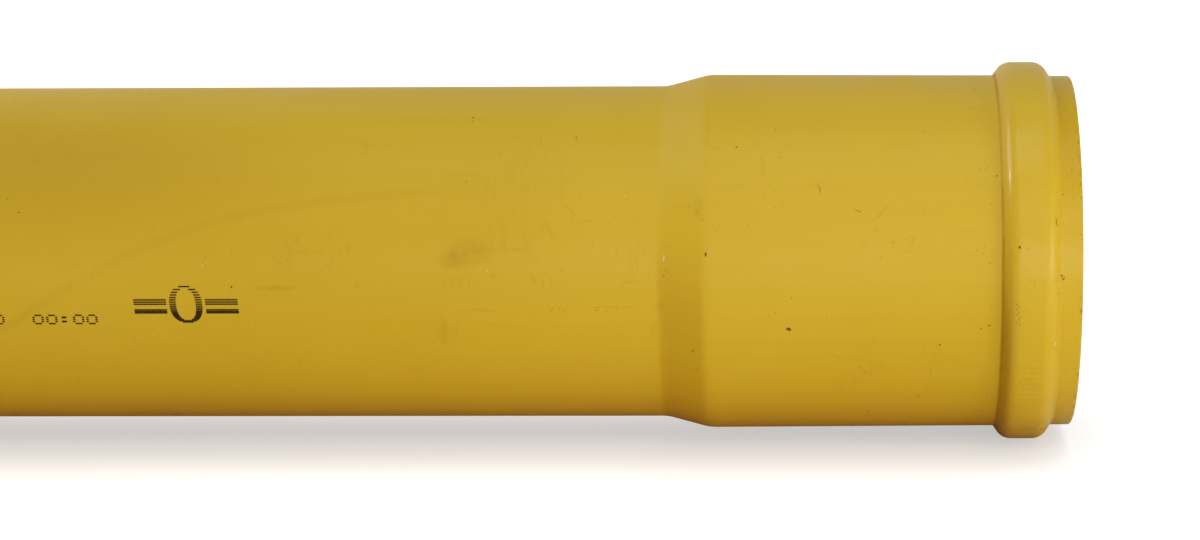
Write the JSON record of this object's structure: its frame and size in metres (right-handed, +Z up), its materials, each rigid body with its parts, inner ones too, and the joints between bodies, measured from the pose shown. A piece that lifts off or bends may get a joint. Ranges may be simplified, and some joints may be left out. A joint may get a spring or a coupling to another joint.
{
  "type": "drainage pipe",
  "caption": "Straight plastic drainage pipe with a bevelled plain end, a widened push-fit socket and a raised bead near its mouth that holds a rubber seal ring.",
  "frame": {"origin": "on the pipe's axis at the inner end of the socket's straight bore, where the end of a fitted pipe comes to lie", "axes": "+X along the axis and out of the socket's mouth, +Z up, +Y to the left of someone looking along +X; the pipe lies with its axis level"},
  "size_m": [1.117, 0.1252, 0.1251],
  "materials": {
    "pvc": "satin",
    "rubber": "matte"
  },
  "bodies": {
    "root": {"pipe": "pvc", "seal_ring": "rubber"}
  },
  "joints": []
}
